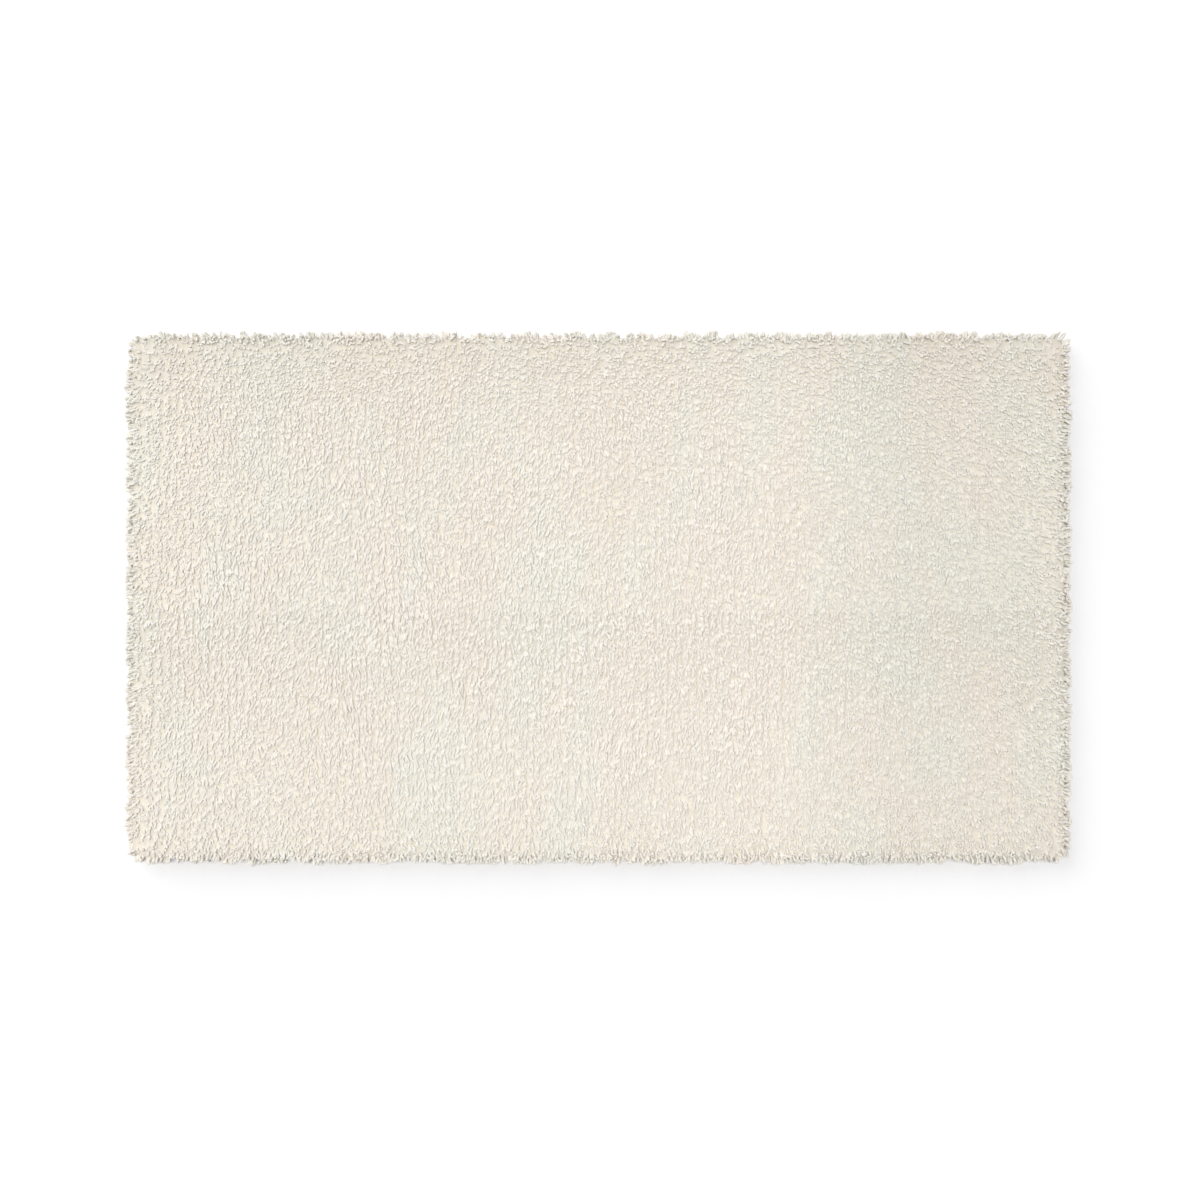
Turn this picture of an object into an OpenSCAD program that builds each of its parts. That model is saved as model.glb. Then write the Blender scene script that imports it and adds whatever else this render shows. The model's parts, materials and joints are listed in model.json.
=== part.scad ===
// Tufted cotton bath mat: cut-pile rows on a woven cloth, a rubber coat underneath,
// and a mitred binding tape on all four sides. Millimetres, +Z up, lying flat.
// The origin is at the middle of the underside, X runs along the mat and Y across it.

/* [Cloth] */
// Length of the backing cloth, along X
cloth_l = 900; // [600:10:1200]
// Width of the backing cloth, along Y
cloth_w = 500; // [400:10:800]
// Thickness of the backing cloth
cloth_t = 0.8; // [0.5:0.1:1.5]

/* [Pile] */
// Length of a tuft above the cloth
pile_h = 25.8; // [18:0.2:35]
// How far the outermost tufts lean past the edge of the cloth
pile_over = 7.5; // [4:0.5:12]
// Distance between rows of tufts
row_pitch = 6.5; // [5:0.5:12]
// Width of a row where it leaves the cloth
row_root_w = 2.5; // [1.5:0.5:4]
// Space between the tips of neighbouring rows
row_gap = 0.4; // [0.2:0.1:1]
// How far the rows stop short of the binding
row_clear = 2.5; // [2:0.5:6]
// Height over which the pile rounds off at its edges
pile_round = 9; // [3:1:12]
// Radius of the pile's four corners, seen from above
pile_corner_r = 16; // [8:1:20]

/* [Back] */
// Height of the back stitches, which hold the tufts under the cloth
stitch_h = 0.6; // [0.3:0.1:0.7]
// Width of a back stitch
stitch_w = 2.5; // [1:0.5:4]

/* [Binding] */
// Thickness of the binding tape, which lies double in both of its legs
tape_t = 0.7; // [0.6:0.05:1.2]
// Width of each leg of the binding, above and below the cloth
leg_w = 10; // [8:1:20]

/* [Seam] */
// Width of the sewing thread
thread_w = 0.8; // [0.4:0.1:1.2]
// Depth to which the thread is pressed into the tape
thread_h = 0.4; // [0.2:0.1:0.6]
// Distance of the seam from the inner edge of the binding
seam_in = 2.5; // [2:0.5:3]
// Length of the bar tack across each mitred corner
tack_l = 6; // [3:0.5:7]
// Width of a bar tack
tack_w = 1.6; // [0.8:0.2:2.4]

/* [Care label] */
// Width of the folded label, along the edge it is sewn to
label_w = 32; // [20:1:60]
// Length of the label that shows beyond the binding
label_l = 45; // [20:1:80]
// Length of the label that is caught under the binding
label_tuck = 7; // [5:0.5:7]
// Thickness of one layer of the label's satin
label_t = 0.25; // [0.15:0.05:0.3]
// Distance of the label's middle from the right-hand end of the cloth
label_from_end = 150; // [60:5:250]
// Space between the label and the pieces around it
label_clear = 0.1; // [0.05:0.05:0.15]

/* [Hidden] */
bands = 15;              // nodes that the rows of tufts are shared among
edge_lean = 14;          // power that keeps the lean to the outermost rows
edge_drop = 24;          // power that keeps the rounding to the outermost rows
arc_steps = 6;           // straight steps round the pile's top edge
tack_at = 5.5;           // place of a tack along each side of its mitre
cut = 1;                 // how far a cutting solid runs past what it cuts

leg_t = 2 * tape_t;                        // thickness of a leg of the binding
cloth_z = leg_t;                           // the coat lies level with the lower legs
pile_z = cloth_z + cloth_t;                // top of the cloth
top_z = pile_z + pile_h;                   // tips of the tufts
inner_l = cloth_l - 2 * leg_w;             // field inside the binding
inner_w = cloth_w - 2 * leg_w;
outer_l = cloth_l + 2 * leg_t;             // outside of the binding
outer_w = cloth_w + 2 * leg_t;
tip_l = cloth_l + 2 * pile_over;           // outside of the pile
tip_w = cloth_w + 2 * pile_over;

// The rows stop short of the binding by row_clear, or by more where the outermost tufts
// would otherwise touch it as they lean out over it
lean_rate = leg_t / (pile_h - pile_round);
lean_in = ((leg_w + pile_over) * lean_rate + row_gap / 2) / (1 - lean_rate);
row_in = max(row_clear, lean_in);
row_l = inner_w - 2 * row_in;              // length of a row at its roots
band_rows = max(1, round(inner_l / row_pitch / bands));
rows = band_rows * bands;
first_x = row_in + row_root_w / 2 - inner_l / 2;
pitch = -2 * first_x / (rows - 1);         // rows spread evenly over the field

fold_t = 2 * label_t;                      // the label is folded double
label_x = cloth_l / 2 - label_from_end;
seam_l = inner_l + 2 * seam_in;            // middle line of the seam
seam_w = inner_w + 2 * seam_in;

function band_name(b) = str("tuft_rows_", b < 10 ? "0" : "", b);

// Middle of a row at its roots, for rows numbered from 0
function row_x(i) = first_x + i * pitch;

// Edge between the tips of rows i - 1 and i: the outer rows lean out over the binding
function tip_share(i) = 2 * i / rows - 1;
function tip_x(i) =
    tip_share(i) * inner_l / 2
    + sign(tip_share(i)) * pow(abs(tip_share(i)), edge_lean) * (tip_l - inner_l) / 2;
function tip_z(i) = top_z - pile_round * pow(abs(tip_share(i)), edge_drop);

// How much shorter a row is where it crosses the rounded corners of the pile
function corner_cut(x) =
    let (past = max(0, abs(x) - (tip_l / 2 - pile_corner_r)))
    pile_corner_r - sqrt(max(0, pow(pile_corner_r, 2) - pow(past, 2)));

// Half the space between tips, which the two outermost edges don't have
function half_gap(i) = i == 0 || i == rows ? 0 : row_gap / 2;

// Section across a row: narrow at the cloth, spread at the tips
function row_section(i) = [
    [row_x(i) - row_root_w / 2, pile_z],
    [row_x(i) + row_root_w / 2, pile_z],
    [tip_x(i + 1) - half_gap(i + 1), tip_z(i + 1)],
    [tip_x(i) + half_gap(i), tip_z(i)]
];

// Outline along a row: narrow at the cloth, leaning ends and a rounded top edge
function row_end(i) =
    let (reach = tip_w / 2 - corner_cut((tip_x(i) + tip_x(i + 1)) / 2))
    [for (s = [0:arc_steps]) let (a = 90 * s / arc_steps)
        [reach - pile_round * (1 - cos(a)), top_z - pile_round * (1 - sin(a))]];
function mirrored(points) =
    [for (k = [len(points) - 1:-1:0]) [-points[k].x, points[k].y]];
function row_outline(i) = concat(
    [[row_l / 2, pile_z]], row_end(i), mirrored(row_end(i)), [[-row_l / 2, pile_z]]
);

// A plate in the middle of the mat
module plate(l, w, z, t) {
    translate([-l / 2, -w / 2, z]) cube([l, w, t]);
}

// Solids whose section lies in XZ, run along Y
module along_y(length) {
    rotate([90, 0, 0]) linear_extrude(length, center = true) children();
}

// Solids whose section lies in YZ, run along X
module along_x(length) {
    rotate([90, 0, 90]) linear_extrude(length, center = true) children();
}

module backing_cloth() {
    color("oldlace") plate(cloth_l, cloth_w, cloth_z, cloth_t);
}

// Section of the coat, with a channel for each row of back stitches
module coat_section() {
    difference() {
        translate([-inner_l / 2, 0]) square([inner_l, leg_t]);
        for (i = [0:rows - 1]) {
            translate([row_x(i) - stitch_w / 2, leg_t - stitch_h])
                square([stitch_w, stitch_h + cut]);
        }
    }
}

// End stretch of the coat, beyond the back stitches
module coat_end(side) {
    translate([-inner_l / 2, side > 0 ? row_l / 2 : -inner_w / 2, 0])
        cube([inner_l, row_in, leg_t]);
}

// Pocket that lets the label lie level with the coat
module label_pocket() {
    pocket_w = label_w + 2 * label_clear;
    pocket_h = fold_t + label_clear;
    translate([label_x - pocket_w / 2, inner_w / 2 - label_l - label_clear, -cut])
        cube([pocket_w, label_l + label_clear + cut, pocket_h + cut]);
    translate([label_x - pocket_w / 2, inner_w / 2 - fold_t - 2 * label_clear, -cut])
        cube([pocket_w, fold_t + 2 * label_clear + cut, leg_t + 2 * cut]);
}

module latex_coat() {
    color("cornsilk") difference() {
        union() {
            along_y(row_l) coat_section();
            coat_end(1);
            coat_end(-1);
        }
        label_pocket();
    }
}

module back_stitches() {
    color("ivory") for (i = [0:rows - 1]) {
        translate([row_x(i) - stitch_w / 2, -row_l / 2, leg_t - stitch_h])
            cube([stitch_w, row_l, stitch_h]);
    }
}

module tuft_row(i) {
    intersection() {
        along_y(tip_w + 2 * cut) polygon(row_section(i));
        along_x(tip_l + 2 * cut) polygon(row_outline(i));
    }
}

module tuft_rows(band) {
    first = (band - 1) * band_rows;
    color("ivory") for (i = [first:first + band_rows - 1]) tuft_row(i);
}

// Channel round the edge of the cloth: a leg above it, a leg below it and the fold
module binding_section(edge) {
    difference() {
        translate([edge - leg_w, 0]) square([leg_w + leg_t, cloth_t + 2 * leg_t]);
        translate([edge - leg_w - cut, cloth_z]) square([leg_w + cut, cloth_t]);
    }
}

// Plan of one side of the frame, mitred at 45 degrees at both ends
module mitred_plan(outer_long, inner_long, outer_edge, inner_edge) {
    polygon([
        [-outer_long / 2, outer_edge], [outer_long / 2, outer_edge],
        [inner_long / 2, inner_edge], [-inner_long / 2, inner_edge]
    ]);
}

// Grooves for the two sewing threads, the corner tacks and the tucked label
module binding_grooves() {
    thread_ring(0, thread_h, cut);
    thread_ring(pile_z + leg_t - thread_h, thread_h + cut, 0);
    tack_bars(cut);
    tuck_w = label_w + 2 * label_clear;
    translate([label_x - tuck_w / 2, inner_w / 2 - cut, leg_t - fold_t - label_clear])
        cube([tuck_w, label_tuck + label_clear + cut, fold_t + label_clear]);
}

// Turns a drawing round for the low side
module facing(side) {
    if (side > 0) children();
    else mirror([1, 0]) children();
}

// Binding along the ends, at low or high X
module binding_end(side) {
    color("linen") difference() {
        intersection() {
            along_y(outer_w + 2 * cut) facing(side) binding_section(cloth_l / 2);
            linear_extrude(cloth_t + 2 * leg_t)
                rotate(-90 * side)
                    mitred_plan(outer_w, inner_w, outer_l / 2, inner_l / 2);
        }
        binding_grooves();
    }
}

// Binding along the long sides, at low or high Y
module binding_side(side) {
    color("linen") difference() {
        intersection() {
            along_x(outer_l + 2 * cut) facing(side) binding_section(cloth_w / 2);
            linear_extrude(cloth_t + 2 * leg_t)
                rotate(side > 0 ? 0 : 180)
                    mitred_plan(outer_l, inner_l, outer_w / 2, inner_w / 2);
        }
        binding_grooves();
    }
}

// One closed run of thread round the mat; below makes it deeper downwards for a cut
module thread_ring(z, h, below) {
    difference() {
        plate(seam_l + thread_w, seam_w + thread_w, z - below, h + below);
        plate(seam_l - thread_w, seam_w - thread_w, z - below - cut, h + below + 2 * cut);
    }
}

// Bars across the four mitres; below makes them deeper downwards for a cut
module tack_bars(below) {
    for (sx = [-1, 1], sy = [-1, 1]) {
        translate([sx * (inner_l / 2 + tack_at), sy * (inner_w / 2 + tack_at), -below])
            rotate(-45 * sx * sy)
                translate([-tack_l / 2, -tack_w / 2, 0])
                    cube([tack_l, tack_w, thread_h + below]);
    }
}

module needle_thread() {
    color("ivory") thread_ring(pile_z + leg_t - thread_h, thread_h, 0);
}

module bobbin_thread() {
    color("ivory") thread_ring(0, thread_h, 0);
}

module corner_tacks() {
    color("ivory") tack_bars(0);
}

// The label runs under the coat, steps up at the binding and is caught above its leg
module care_label() {
    fold_y = inner_w / 2 - label_clear;
    color("white") translate([label_x, 0, 0]) along_x(label_w) polygon([
        [inner_w / 2 - label_l, 0], [fold_y, 0],
        [fold_y, leg_t - fold_t], [inner_w / 2 + label_tuck, leg_t - fold_t],
        [inner_w / 2 + label_tuck, leg_t], [fold_y - fold_t, leg_t],
        [fold_y - fold_t, fold_t], [inner_w / 2 - label_l, fold_t]
    ]);
}

backing_cloth();
latex_coat();
back_stitches();
for (b = [1:bands]) {
    tuft_rows(b);
}
binding_end(-1);  // binding_left
binding_end(1);  // binding_right
binding_side(-1);  // binding_front
binding_side(1);  // binding_back
needle_thread();
bobbin_thread();
corner_tacks();
care_label();
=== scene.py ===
"""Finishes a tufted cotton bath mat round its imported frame: pile, cloth, coat and binding."""

import json
import math

import bpy
import numpy as np
from bpy.props import FloatProperty, IntProperty, PointerProperty, StringProperty
from bpy.types import Operator, Panel, PropertyGroup
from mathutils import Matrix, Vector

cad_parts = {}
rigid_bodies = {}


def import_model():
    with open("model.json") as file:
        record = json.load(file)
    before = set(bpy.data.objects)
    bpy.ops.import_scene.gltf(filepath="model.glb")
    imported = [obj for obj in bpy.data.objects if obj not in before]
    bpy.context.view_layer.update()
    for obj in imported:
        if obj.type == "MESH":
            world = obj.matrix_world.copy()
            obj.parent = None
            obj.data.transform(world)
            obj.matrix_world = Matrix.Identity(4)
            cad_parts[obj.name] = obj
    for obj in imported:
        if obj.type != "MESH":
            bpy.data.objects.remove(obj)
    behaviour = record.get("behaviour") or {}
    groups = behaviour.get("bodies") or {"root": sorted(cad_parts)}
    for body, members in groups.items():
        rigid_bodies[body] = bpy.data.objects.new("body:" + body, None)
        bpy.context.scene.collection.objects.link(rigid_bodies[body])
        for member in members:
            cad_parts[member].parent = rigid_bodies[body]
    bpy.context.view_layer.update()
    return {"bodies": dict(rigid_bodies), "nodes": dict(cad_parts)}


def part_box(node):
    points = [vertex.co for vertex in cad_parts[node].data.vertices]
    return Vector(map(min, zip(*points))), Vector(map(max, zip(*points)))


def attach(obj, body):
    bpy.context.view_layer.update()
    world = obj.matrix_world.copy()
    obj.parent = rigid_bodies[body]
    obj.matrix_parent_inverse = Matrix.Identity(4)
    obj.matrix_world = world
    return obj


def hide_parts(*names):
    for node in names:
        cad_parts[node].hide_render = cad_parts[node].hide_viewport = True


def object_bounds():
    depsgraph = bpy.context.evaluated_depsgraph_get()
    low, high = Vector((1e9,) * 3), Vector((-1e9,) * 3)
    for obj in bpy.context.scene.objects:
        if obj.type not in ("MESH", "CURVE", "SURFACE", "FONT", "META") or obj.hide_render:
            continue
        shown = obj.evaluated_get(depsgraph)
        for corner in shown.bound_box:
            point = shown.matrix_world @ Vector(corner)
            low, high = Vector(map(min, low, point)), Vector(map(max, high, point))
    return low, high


bl_info = {
    "name": "Tufted Bath Mat",
    "version": (1, 0, 0),
    "blender": (4, 5, 0),
    "location": "3D View > Sidebar > Bath Mat",
    "description": "Sews the pile, binding and backing of a cotton bath mat round its frame",
    "category": "Add Mesh",
}

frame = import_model()


def node_box(name):
    """The low and high corners of a CAD node."""
    low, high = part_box(name)
    return np.array(low), np.array(high)


MM = 0.001
BODY = next(iter(frame["bodies"]))
BAND_NODES = sorted(name for name in frame["nodes"] if name.startswith("tuft_rows_"))
CLOTH_LOW, CLOTH_HIGH = node_box("backing_cloth")
COAT_LOW, COAT_HIGH = node_box("latex_coat")
STITCH_LOW, STITCH_HIGH = node_box("back_stitches")
PILE_LOW, PILE_HIGH = node_box(BAND_NODES[0])
PILE_REACH = np.array(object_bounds()[1])[:2]
LABEL_LOW, LABEL_HIGH = node_box("care_label")
TACK_LOW, TACK_HIGH = node_box("corner_tacks")


# ---------------------------------------------------------------- settings


class MatPileSettings(PropertyGroup):
    """Sizes of the yarn and how the pile lies."""

    row_pitch: FloatProperty(
        name="Row pitch", description="Distance between rows of tufts",
        default=6.5 * MM, min=4 * MM, unit="LENGTH", precision=4,
    )
    stitch_pitch: FloatProperty(
        name="Stitch pitch", description="Distance between stitches along a row",
        default=5.1 * MM, min=3 * MM, unit="LENGTH", precision=4,
    )
    yarn_ends: IntProperty(
        name="Ends to a stitch", description="Cut yarn ends that stand up from one stitch",
        default=6, min=1, max=8,
    )
    back_stitch_width: FloatProperty(
        name="Back stitch width", description="Width of the yarn where it lies under the cloth",
        default=2.5 * MM, min=1 * MM, unit="LENGTH", precision=4,
    )
    yarn_width: FloatProperty(
        name="Yarn width", description="Width of a yarn where it has opened near its cut end",
        default=2.4 * MM, min=1 * MM, unit="LENGTH", precision=4,
    )
    tuft_length: FloatProperty(
        name="Tuft length", description="Greatest length of a yarn end from the cloth to its tip",
        default=31 * MM, min=10 * MM, unit="LENGTH", precision=4,
    )
    lean: FloatProperty(
        name="Lean", description="How far a tuft's tip tilts from upright",
        default=math.radians(70), min=0, max=math.radians(100), unit="ROTATION",
    )
    edge_droop: FloatProperty(
        name="Edge droop", description="How far the outermost tips tilt over the binding",
        default=math.radians(100), min=0, max=math.radians(160), unit="ROTATION",
    )
    seed: IntProperty(
        name="Seed", description="Number that the loose ends are drawn from", default=7,
    )


class MatColourSettings(PropertyGroup):
    """Colours of the mat's materials, as sRGB hex values."""

    yarn_warm: StringProperty(
        name="Warm yarn", description="Yarn where the cotton is creamier", default="#F7F0E5",
    )
    yarn_cool: StringProperty(
        name="Cool yarn", description="Yarn where the cotton is paler and cooler",
        default="#F5F2E8",
    )
    canvas: StringProperty(name="Canvas", description="Woven backing cloth", default="#E0D8C6")
    tape: StringProperty(name="Tape", description="Twill binding tape", default="#EDE5D5")
    thread: StringProperty(name="Thread", description="Sewing thread", default="#F3EEE2")
    rubber: StringProperty(name="Rubber", description="Latex coat", default="#E6DCC3")
    satin: StringProperty(name="Satin", description="Blank care label", default="#F7F6F3")


class MatStageSettings(PropertyGroup):
    """Camera, floor and lights."""

    camera_height: FloatProperty(
        name="Camera height", description="Height of the camera above the floor",
        default=2.4, min=1, unit="LENGTH",
    )
    view_width: FloatProperty(
        name="View width", description="Width of floor that the camera takes in",
        default=1.158, min=0.5, unit="LENGTH",
    )
    overhead: FloatProperty(
        name="Overhead light", description="Strength of the light from beside the camera",
        default=2.0, min=0,
    )
    key: FloatProperty(
        name="Key light", description="Strength of the soft light from the upper left",
        default=1.25, min=0,
    )
    ambient: FloatProperty(
        name="Ambient light", description="Strength of the light from all round",
        default=0.35, min=0,
    )


# ---------------------------------------------------------------- materials

# as a layer of colour, this leaves what lies under it unchanged
CLEAR = (1.0, 1.0, 1.0, 1.0)


def linear(hex_colour):
    """An sRGB hex value as linear red, green, blue and alpha."""
    channels = [int(hex_colour[i:i + 2], 16) / 255 for i in (1, 3, 5)]
    return tuple(
        c / 12.92 if c <= 0.04045 else ((c + 0.055) / 1.055) ** 2.4 for c in channels
    ) + (1.0,)


def shade(colour, amount):
    """A linear colour made darker or lighter by a factor."""
    return tuple(c * amount for c in colour[:3]) + (colour[3],)


def add_node(tree, kind, inputs=None, stops=(), **settings):
    """Adds a node with its settings and links.

    An input, by name or number, takes a value or what another node gives. The two stops of
    a colour ramp are (place, linear colour) pairs.
    """
    node = tree.nodes.new(kind)
    for name, value in settings.items():
        setattr(node, name, value)
    if stops:
        for element, stop in zip(node.color_ramp.elements, stops):
            element.position, element.color = stop
    for name, value in (inputs or {}).items():
        if isinstance(value, bpy.types.Node):
            value = value.outputs[0]
        if isinstance(value, bpy.types.NodeSocket):
            tree.links.new(value, node.inputs[name])
        else:
            node.inputs[name].default_value = value
    return node


def new_material(name, **shader_values):
    """A material, its tree, its shader with these plain values, and where each point lies."""
    material = bpy.data.materials.new(name)
    material.use_nodes = True
    tree = material.node_tree
    shader = tree.nodes["Principled BSDF"]
    for socket, value in shader_values.items():
        shader.inputs[socket.replace("_", " ")].default_value = value
    place = add_node(tree, "ShaderNodeTexCoord").outputs["Object"]
    return material, tree, shader, place


def band_scale(width):
    """The scale at which a band texture, which repeats every tau / 20, repeats every width."""
    return math.tau / 20 / width


def dress(tree, shader, tone, height, strength, depth):
    """Gives a shader its colour, and a relief of some depth in metres."""
    relief = add_node(
        tree, "ShaderNodeBump", {"Height": height, "Strength": strength, "Distance": depth},
    )
    tree.links.new(tone.outputs["Color"], shader.inputs["Base Color"])
    tree.links.new(relief.outputs["Normal"], shader.inputs["Normal"])


def cotton_yarn(colours, cells):
    """Soft-spun two-ply cotton yarn, cut and washed.

    Reads as matt and slightly fuzzy: a rough surface with a pale sheen at grazing angles, a
    slow drift between creamy and cool ivory, each end its own shade, and the ply's slanting
    grooves along every strand. Each strand owns one cell of the UV map.
    """
    material, tree, shader, place = new_material(
        "cotton_yarn", Roughness=0.92, IOR=1.5, Sheen_Weight=0.3, Sheen_Roughness=0.6,
        Specular_IOR_Level=0.2,
    )
    warm, cool = linear(colours.yarn_warm), linear(colours.yarn_cool)
    # patches of about 55 mm, drawn out along the rows
    patch_scale, row_stretch = 18.0, (1, 0.45, 1)
    along = add_node(
        tree, "ShaderNodeVectorMath", {0: place, 1: row_stretch}, operation="MULTIPLY",
    )
    drift = add_node(
        tree, "ShaderNodeTexNoise", {"Vector": along, "Scale": patch_scale, "Detail": 3.0},
    )
    patches = add_node(
        tree, "ShaderNodeValToRGB", {"Fac": drift}, stops=((0.38, cool), (0.62, warm)),
    )

    uv = add_node(tree, "ShaderNodeUVMap", uv_map="OFBake")
    spread = add_node(
        tree, "ShaderNodeVectorMath", {0: uv, 1: (cells, cells, 1)}, operation="MULTIPLY",
    )
    cell = add_node(tree, "ShaderNodeVectorMath", {0: spread}, operation="FLOOR")
    within = add_node(tree, "ShaderNodeVectorMath", {0: spread}, operation="FRACTION")
    own = add_node(tree, "ShaderNodeTexWhiteNoise", {"Vector": cell}, noise_dimensions="2D")
    # painted shade: the outer half of each end is painted darker towards its tip, a tenth darker
    # at the tip, to temper the tips' highlights; the cotton below them keeps its colour
    parts = add_node(tree, "ShaderNodeSeparateXYZ", {"Vector": within})
    # the right-hand end of the mat is coloured a little greyer and darker
    end_starts, end_full, right_end_grey = 0.18, 0.3, (0.932, 0.936, 0.935, 1)
    across = add_node(tree, "ShaderNodeSeparateXYZ", {"Vector": place})
    end = add_node(
        tree, "ShaderNodeMapRange", {0: across.outputs["X"], 1: end_starts, 2: end_full},
    )
    # painted shade: the yarn pressed together between the tips is painted a warm half shade, for
    # the shade that falls between them
    packed_from, painted_half_shade = 1 - 1.95 / cells, (0.88, 0.86, 0.82, 1)
    line = add_node(tree, "ShaderNodeSeparateXYZ", {"Vector": uv})
    packed = add_node(
        tree, "ShaderNodeMath", {0: line.outputs["Y"], 1: packed_from},
        operation="GREATER_THAN",
    )
    colour = patches
    for source, *stops in (
        (own, (0.0, shade(CLEAR, 0.93)), (1.0, CLEAR)),
        # painted shade on the tips, which tempers their highlights
        (parts.outputs["Y"], (0.5, CLEAR), (0.95, shade(CLEAR, 0.9))),
        (end, (0.0, CLEAR), (1.0, right_end_grey)),
        # painted shade on the pressed yarn between the tips
        (packed, (0.0, CLEAR), (1.0, painted_half_shade)),
    ):
        layer = add_node(tree, "ShaderNodeValToRGB", {"Fac": source}, stops=stops)
        colour = add_node(
            tree, "ShaderNodeMix", {0: 1.0, 6: colour, 7: layer}, data_type="RGBA",
            blend_type="MULTIPLY",
        ).outputs[2]
    tree.links.new(colour, shader.inputs["Base Color"])

    # two plies that turn once every 7 mm of a 28 mm end: four turns over a cell
    plies, ply_turns = 2, 4.0
    turns = add_node(
        tree, "ShaderNodeMath",
        {0: parts.outputs["Y"], 1: ply_turns, 2: parts.outputs["X"]}, operation="MULTIPLY_ADD",
    )
    angle = add_node(
        tree, "ShaderNodeMath", {0: turns, 1: plies * math.tau}, operation="MULTIPLY",
    )
    ply = add_node(tree, "ShaderNodeMath", {0: angle}, operation="SINE")
    twist = add_node(
        tree, "ShaderNodeBump", {"Height": ply, "Strength": 0.3, "Distance": 0.12 * MM},
    )
    # fibres clump about every 0.45 mm
    fibres = add_node(tree, "ShaderNodeTexNoise", {"Vector": place, "Scale": 2200.0})
    fuzz = add_node(
        tree, "ShaderNodeBump",
        {"Height": fibres, "Normal": twist, "Strength": 0.2, "Distance": 0.1 * MM},
    )
    # loose fibres scatter light from above into every side of a strand but its underside
    under, full, most = -0.1, 0.4, 3.4
    facing = add_node(tree, "ShaderNodeSeparateXYZ", {"Vector": fuzz})
    share = add_node(
        tree, "ShaderNodeMapRange",
        {0: facing.outputs["Z"], 1: under, 2: full, 3: 0.0, 4: most},
    )
    lift = add_node(tree, "ShaderNodeCombineXYZ", {"Z": share})
    upward = add_node(tree, "ShaderNodeVectorMath", {0: fuzz, 1: lift}, operation="ADD")
    soft = add_node(tree, "ShaderNodeVectorMath", {0: upward}, operation="NORMALIZE")
    tree.links.new(soft.outputs["Vector"], shader.inputs["Normal"])
    return material


def woven(name, colour, thread_width, slant, roughness, sheen):
    """A woven cloth: two sets of threads that cross, slanted for a twill, with uneven yarn."""
    material, tree, shader, place = new_material(
        name, Roughness=roughness, IOR=1.5, Sheen_Weight=sheen, Specular_IOR_Level=0.3,
    )
    base, scale = linear(colour), band_scale(thread_width)
    turned = add_node(
        tree, "ShaderNodeMapping", {"Vector": place, "Rotation": (0, 0, slant)},
    )
    warp, weft = (
        add_node(
            tree, "ShaderNodeTexWave", {"Vector": turned, "Scale": scale}, bands_direction=way,
        ).outputs["Fac"]
        for way in ("X", "Y")
    )
    crossing = add_node(tree, "ShaderNodeMath", {0: warp, 1: weft}, operation="MULTIPLY")
    # the yarn is thicker or thinner about every 17 mm
    uneven = add_node(
        tree, "ShaderNodeTexNoise", {"Vector": place, "Scale": 60.0, "Detail": 4.0},
    )
    tone = add_node(
        tree, "ShaderNodeValToRGB", {"Fac": uneven},
        stops=((0.3, shade(base, 0.9)), (0.7, shade(base, 1.04))),
    )
    dress(tree, shader, tone, crossing, strength=0.6, depth=0.15 * MM)
    return material


def latex_rubber(colours):
    """Natural latex, brushed on as a liquid and cured.

    Reads as a dull, slightly translucent cream skin with a pebbled surface and faint yellowing.
    """
    material, tree, shader, place = new_material(
        "latex_rubber", Roughness=0.55, IOR=1.52, Subsurface_Weight=0.08,
    )
    # it yellows in patches of about 110 mm, and its pebbles are 1.4 mm apart
    age = add_node(tree, "ShaderNodeTexNoise", {"Vector": place, "Scale": 9.0, "Detail": 5.0})
    pebbles = add_node(tree, "ShaderNodeTexVoronoi", {"Vector": place, "Scale": 700.0})
    tone = add_node(
        tree, "ShaderNodeValToRGB", {"Fac": age},
        stops=((0.35, linear(colours.rubber)), (0.65, linear("#DDD0B0"))),
    )
    dress(tree, shader, tone, pebbles, strength=0.5, depth=0.2 * MM)
    return material


def sewing_thread(colours):
    """Core-spun polyester sewing thread, which has a low lustre along its twist."""
    material, tree, shader, place = new_material(
        "sewing_thread", Roughness=0.5, IOR=1.53, Sheen_Weight=0.2,
    )
    base, ply_spacing = linear(colours.thread), 0.6 * MM
    twist = add_node(
        tree, "ShaderNodeTexWave", {"Vector": place, "Scale": band_scale(ply_spacing)},
        bands_direction="DIAGONAL",
    )
    # painted shade: the twist's grooves are painted up to 14% darker than its ridges
    tone = add_node(
        tree, "ShaderNodeValToRGB", {"Fac": twist}, stops=((0.0, shade(base, 0.86)), (1.0, base)),
    )
    dress(tree, shader, tone, twist.outputs["Fac"], strength=0.5, depth=0.08 * MM)
    return material


def studio_paper():
    """Matt white seamless paper, with the faint mottle of its pulp."""
    material, tree, shader, place = new_material(
        "studio_paper", Roughness=0.95, Specular_IOR_Level=0.1,
    )
    pulp = add_node(tree, "ShaderNodeTexNoise", {"Vector": place, "Scale": 3.0})
    tone = add_node(
        tree, "ShaderNodeValToRGB", {"Fac": pulp},
        stops=((0.3, shade(CLEAR, 0.86)), (0.7, shade(CLEAR, 0.87))),
    )
    tree.links.new(tone.outputs["Color"], shader.inputs["Base Color"])
    return material


# ---------------------------------------------------------------- mesh helpers


def waves(x, y, length, seed, stretch=1.0):
    """Smooth noise, about -1 to 1, with swells that are stretch times as long along Y."""
    count, shortest, longest = 9, 0.75, 1.5
    draw = np.random.default_rng(seed)
    heading = draw.uniform(0, math.tau, count)
    phase = draw.uniform(0, math.tau, count)
    swell = length * draw.uniform(shortest, longest, count)
    total = np.zeros(np.shape(x))
    for a, p, size in zip(heading, phase, swell):
        total += np.sin(math.tau * (x * math.cos(a) + y * math.sin(a) / stretch) / size + p)
    return total * math.sqrt(2 / count)


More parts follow.
